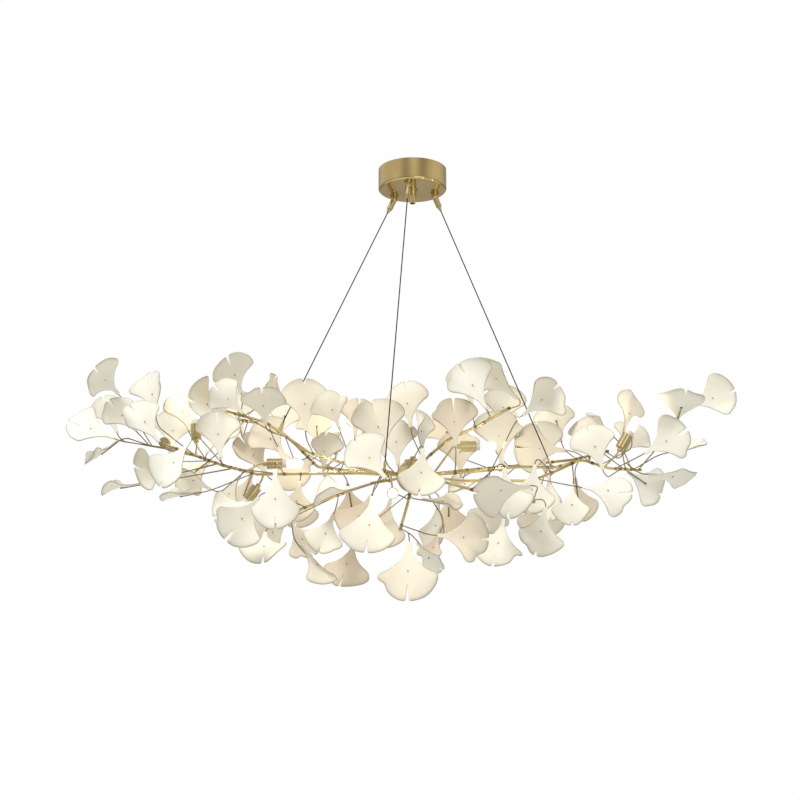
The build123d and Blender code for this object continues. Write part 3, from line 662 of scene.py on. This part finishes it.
def held_in_box(place):
    """Keeps a point of a sheet, and half of its wall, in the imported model's box."""
    room = LEAF_THICKNESS / 2
    low, high = CAD_BOX
    return Vector([max(low[axis] + room, min(high[axis] - room, place[axis])) for axis in range(3)])


def draw_quirk(seat):
    """Draws what sets one leaf apart from the others."""
    notch_foot = NOTCH_FOOT + NOTCH_RISE * CHANCE.random()
    tone = CHANCE.uniform(TONE_LEAST, TONE_MOST) ** TONE_POWER
    # Cooler at the ends and in front, warmer in the middle and at the back: painted lamp glow and shade
    tone *= 1 - GLOW_FADE_AT_ENDS * abs(seat.stalk.x) / HALF_LENGTH
    tone *= 1 + GLOW_FADE_AT_FRONT * seat.stalk.y / HALF_DEPTH
    small_side = CHANCE.choice((-1, 1))
    lobe_draw = LOBE_DRAW * CHANCE.random()
    dent_depth = DENT_DEPTH * CHANCE.random() ** 2
    dent_place = small_side * CHANCE.uniform(DENT_NEAREST, DENT_FARTHEST)
    return Quirk(notch_foot, tone, small_side, lobe_draw, dent_depth, dent_place)


def add_flat_leaf(shape, notch_foot):
    """Adds a flat leaf of size 1 to a spray, half of it from a grid and half mirrored. Gives its points."""
    across_layer = shape.verts.layers.float["leaf_across"]
    along_layer = shape.verts.layers.float["leaf_along"]
    tone_and_glow_layer = shape.verts.layers.float["leaf_tone_and_glow"]
    grid = bmesh.ops.create_grid(shape, x_segments=LEAF_COLUMNS, y_segments=LEAF_ROWS, size=GRID_HALF)
    points = grid["verts"]
    for point in points:
        point[across_layer] = point.co.x + GRID_HALF
        point[along_layer] = point.co.y + GRID_HALF
        x, y = leaf_outline(point[across_layer], point[along_layer], notch_foot)
        point.co = Vector((x, y, 0.0))
    faces = {face for point in points for face in point.link_faces}
    edges = {edge for point in points for edge in point.link_edges}
    half = [*points, *faces, *edges]
    bmesh.ops.mirror(shape, geom=half, matrix=Matrix(), merge_dist=MIRROR_GAP, axis="X")
    return [point for point in shape.verts if point[tone_and_glow_layer] == UNSET_TONE]


def unevenness(x, y, z):
    """Smooth noise from -1 to 1."""
    return noise.noise(Vector((x, y, z)))


def add_leaf(shape, seat, number):
    """Adds one leaf's sheet to a spray, made uneven, bent and set in its seat."""
    quirk = draw_quirk(seat)
    leaf = add_flat_leaf(shape, quirk.notch_foot)
    across_layer = shape.verts.layers.float["leaf_across"]
    along_layer = shape.verts.layers.float["leaf_along"]
    tone_and_glow_layer = shape.verts.layers.float["leaf_tone_and_glow"]
    place = Matrix((seat.across, seat.along, seat.face)).transposed()
    for point in leaf:
        side = math.copysign(1.0, point.co.x)
        point[across_layer] *= side
        point[tone_and_glow_layer] = quirk.tone
        across = point[across_layer]
        fan = max(0.0, (point[along_layer] - STALK_SHARE) / (1 - STALK_SHARE))
        scallop = unevenness(across * SCALLOP_WAVES, number * SCALLOP_STEP, SCALLOP_LAYER)
        draw = SCALLOP * (0.5 + 0.5 * scallop)
        draw += quirk.dent_depth * math.exp(-(((across - quirk.dent_place) / DENT_HALF_WIDTH) ** 2))
        lobe = quirk.lobe_draw if side == quirk.small_side else 0.0
        x = point.co.x * seat.size * seat.bend.narrowing * (1 - (lobe + draw) * fan)
        y = point.co.y * seat.size * (1 - draw * fan)
        roll = unevenness(across * LIP_ROLL_WAVES, number * LIP_ROLL_STEP, LIP_ROLL_LAYER)
        flutter = unevenness(x * FLUTTER_SCALE, y * FLUTTER_SCALE, number * FLUTTER_STEP)
        z = sheet_height(x, seat.size, seat.bend)
        z += LIP_ROLL * roll * seat.size * fan**LIP_ROLL_POWER
        z += FLUTTER * seat.size * fan * fan * flutter
        point.co = held_in_box(seat.stalk + place @ Vector((x, y, z)))
    faces = list({face for point in leaf for face in point.link_faces})
    bmesh.ops.recalc_face_normals(shape, faces=faces)
    for face in faces:
        face.smooth = True


def make_piece(name, shape, finish):
    """Turns a finished shape into a piece of the fixture, with its finish."""
    mesh = bpy.data.meshes.new(name)
    shape.to_mesh(mesh)
    shape.free()
    mesh.materials.append(FINISHES[finish])
    piece = bpy.data.objects.new(name, mesh)
    bpy.context.scene.collection.objects.link(piece)
    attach(piece, BODY)
    return piece


def make_beads(name, seats):
    """Makes the small dark bead on each wire's end, on the side of its leaf where the wire comes out."""
    wires = frame["nodes"][f"twigs_{name}"].data.vertices
    tree = kdtree.KDTree(len(wires))
    for number, point in enumerate(wires):
        tree.insert(point.co, number)
    tree.balance()
    shape = bmesh.new()
    for seat in seats:
        hole = seat.stalk + seat.along * HOLE_UP * seat.size
        out = min((seat.face, -seat.face), key=lambda way: tree.find(hole + way * WIRE_OUT)[2])
        bead = bmesh.ops.create_icosphere(
            shape,
            subdivisions=BEAD_SUBDIVISIONS,
            radius=BEAD_RADIUS,
            matrix=Matrix.Translation(hole + out * BEAD_OUT),
        )
        for point in bead["verts"]:
            for side in point.link_faces:
                side.smooth = True
    make_piece(f"wire_beads_{name}", shape, "blackened_brass")


def make_spray(name, first_number):
    """Makes one bough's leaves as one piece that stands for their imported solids, and their beads."""
    packed, solids = packed_solids(f"leaves_{name}")
    seats = [read_seat(solid) for solid in solids]
    packed.free()
    shape = bmesh.new()
    for layer in ("leaf_across", "leaf_along", "leaf_tone_and_glow"):
        shape.verts.layers.float.new(layer)
    for number, seat in enumerate(seats, first_number):
        add_leaf(shape, seat, number)
    piece = make_piece(f"porcelain_{name}", shape, "porcelain")
    wall = piece.modifiers.new("wall", "SOLIDIFY")
    wall.thickness = LEAF_THICKNESS
    wall.offset = 0.0
    soft = piece.modifiers.new("soft_rim", "SUBSURF")
    soft.levels = LEAF_SUBDIVISIONS
    soft.render_levels = LEAF_SUBDIVISIONS
    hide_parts(f"leaves_{name}")
    make_beads(name, seats)
    return len(seats)


# Wires that carry leaves and lamps


def bough_surface():
    """The skin of all boughs, to measure from."""
    shape = bmesh.new()
    for node, packed in frame["nodes"].items():
        if node.startswith("bough_"):
            shape.from_mesh(packed.data)
    tree = BVHTree.FromBMesh(shape)
    shape.free()
    return tree


def make_slim_wires(node, skin, finish):
    """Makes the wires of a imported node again, with their collars drawn close to the boughs."""
    shape = bmesh.new()
    shape.from_mesh(frame["nodes"][node].data)
    bmesh.ops.remove_doubles(shape, verts=shape.verts, dist=MERGE_GAP)
    for point in shape.verts:
        place = skin.find_nearest(point.co, COLLAR_REACH)[0]
        if place is not None:
            point.co = place.lerp(point.co, COLLAR_SHARE)
    for side in shape.faces:
        side.smooth = True
    for edge in shape.edges:
        edge.smooth = edge.calc_face_angle(0.0) < CREASE_ANGLE
    piece = make_piece(f"slim_{node}", shape, finish)
    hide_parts(node)


# Cables


def make_cable(number):
    """Makes one taut steel cable from its gripper to its clip."""
    node = f"cable_{number}"
    low, high = (Vector(corner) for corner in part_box(node))
    upward = RELEASE_AXES[f"gripper_release_{number}"]
    end_rise = CABLE_RADIUS * math.sqrt(1 - upward.z * upward.z)
    length = (high.z - low.z - 2 * end_rise) / upward.z
    middle = (low + high) / 2
    top = middle + upward * length / 2
    bottom = middle - upward * length / 2
    route = (top, middle, bottom)
    line = bpy.data.curves.new(f"steel_cable_{number}", "CURVE")
    line.dimensions = "3D"
    line.bevel_depth = CABLE_RADIUS
    line.bevel_resolution = CABLE_ROUNDNESS
    line.use_fill_caps = True
    spline = line.splines.new("NURBS")
    spline.points.add(len(route) - 1)
    for point, place in zip(spline.points, route):
        point.co = (*place, 1.0)
    spline.order_u = 3
    spline.use_endpoint_u = True
    piece = bpy.data.objects.new(f"steel_cable_{number}", line)
    bpy.context.scene.collection.objects.link(piece)
    line.materials.append(FINISHES["steel_cable"])
    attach(piece, BODY)
    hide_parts(node)


# Camera, light and floor


def make_camera():
    """Sets the camera where the photograph was taken from."""
    lens = bpy.data.cameras.new("camera")
    lens.lens = CAMERA_LENS
    camera = bpy.data.objects.new("camera", lens)
    camera.location = CAMERA_PLACE
    camera.rotation_euler = (math.radians(90 + CAMERA_TILT), 0, 0)
    bpy.context.scene.collection.objects.link(camera)
    bpy.context.scene.camera = camera


def make_softbox(name, softbox):
    """Hangs one soft square light."""
    light = bpy.data.lights.new(name, "AREA")
    light.shape = "SQUARE"
    light.size = softbox.size
    light.energy = softbox.power
    lamp = bpy.data.objects.new(name, light)
    lamp.visible_glossy = softbox.mirrored
    lamp.location = softbox.place
    way = Vector(softbox.aim) - Vector(softbox.place)
    lamp.rotation_euler = way.to_track_quat("-Z", "Y").to_euler()
    bpy.context.scene.collection.objects.link(lamp)


def make_bulb_lights():
    """Lights each bulb from just past the end of its glass."""
    glass_shape, glasses = packed_solids("bulb_capsules")
    base_shape, bases = packed_solids("bulb_bases")
    base_middles = [middle_of(base) for base in bases]
    for number, glass in enumerate(glasses):
        middle = middle_of(glass)
        base = min(base_middles, key=lambda place: (place - middle).length)
        light = bpy.data.lights.new(f"bulb_light_{number}", "POINT")
        light.energy = BULB_LIGHT_POWER
        light.color = BULB_LIGHT_COLOUR
        light.shadow_soft_size = BULB_LIGHT_RADIUS
        lamp = bpy.data.objects.new(f"bulb_light_{number}", light)
        lamp.location = middle + (middle - base).normalized() * BULB_LIGHT_OUT
        bpy.context.scene.collection.objects.link(lamp)
    glass_shape.free()
    base_shape.free()


def make_world():
    """A studio that is plain white to the camera, and that lights the fixture in upright bands."""
    world = bpy.data.worlds.new("studio")
    bpy.context.scene.world = world
    studio = Shading(world)
    way = studio.node("ShaderNodeTexCoord", {}, {}, "Generated")
    height = (studio.axis(way, "Z") - DIM_HEIGHT) * (1 / (BRIGHT_HEIGHT - DIM_HEIGHT))
    bands = studio.maths("SINE", studio.axis(way, "X") * BAND_RATE + BAND_START)
    light = {"Color": studio.blend(height, STUDIO_DIM, STUDIO_BRIGHT), "Strength": 1 + BAND_DEPTH * bands}
    lit = studio.node("ShaderNodeBackground", {}, light)
    seen = studio.node("ShaderNodeBackground", {}, {"Color": STUDIO_WHITE})
    to_camera = studio.node("ShaderNodeLightPath", {}, {}, "Is Camera Ray")
    choice = studio.node("ShaderNodeMixShader", {}, {0: to_camera, 1: lit, 2: seen})
    studio.node("ShaderNodeOutputWorld", {}, {"Surface": choice})
    bpy.context.scene.view_settings.view_transform = "Standard"


def make_floor():
    """Lays the round floor."""
    shape = bmesh.new()
    bmesh.ops.create_circle(shape, cap_ends=True, radius=FLOOR_RADIUS, segments=FLOOR_SIDES)
    bmesh.ops.translate(shape, verts=shape.verts, vec=(0, 0, FLOOR_HEIGHT))
    mesh = bpy.data.meshes.new("floor")
    shape.to_mesh(mesh)
    shape.free()
    mesh.materials.append(floor_finish())
    floor = bpy.data.objects.new("floor", mesh)
    bpy.context.scene.collection.objects.link(floor)


make_camera()
for cable_number in CABLE_NUMBERS:
    make_cable(cable_number)

leaf_count = 0
boughs = bough_surface()
for spray in SPRAYS:
    leaf_count += make_spray(spray, leaf_count)
    make_slim_wires(f"twigs_{spray}", boughs, "twig_brass")
make_slim_wires("lamp_arms", boughs, "bough_brass")

for node_name, node_object in frame["nodes"].items():
    for material_slot in node_object.material_slots:
        material_slot.material = FINISHES[finish_name(node_name, material_slot.material.name)]

make_bulb_lights()
make_world()
make_floor()
for softbox_name, softbox in SOFTBOXES.items():
    make_softbox(softbox_name, softbox)
